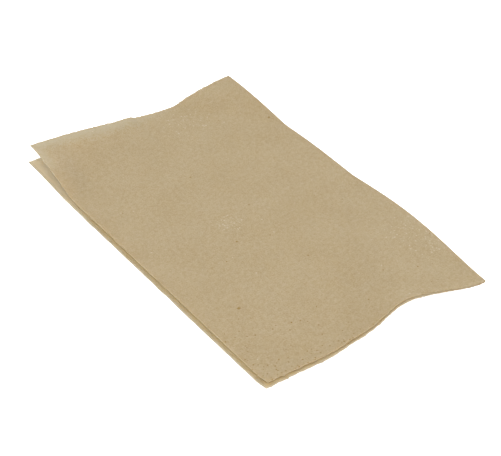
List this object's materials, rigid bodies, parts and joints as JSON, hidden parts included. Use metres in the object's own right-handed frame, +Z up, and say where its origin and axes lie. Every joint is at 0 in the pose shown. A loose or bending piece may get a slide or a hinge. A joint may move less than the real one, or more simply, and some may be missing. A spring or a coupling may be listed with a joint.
{
  "type": "paper napkin",
  "caption": "Brown paper napkin: one rectangular sheet folded once into two leaves, lying loosely with one arched end and lifted corners.",
  "frame": {"origin": "middle of the napkin's bounding box, on the plane of the table that it lies on", "axes": "+X along the fold, from the end with the lifted corners to the arched end; +Y from the free edges to the fold; +Z up from the table"},
  "size_m": [0.165, 0.1016, 0.01],
  "materials": {
    "kraft_tissue": "matte, uncoated, lightly creped"
  },
  "bodies": {
    "root": {"folded_sheet": "kraft_tissue"}
  },
  "joints": []
}
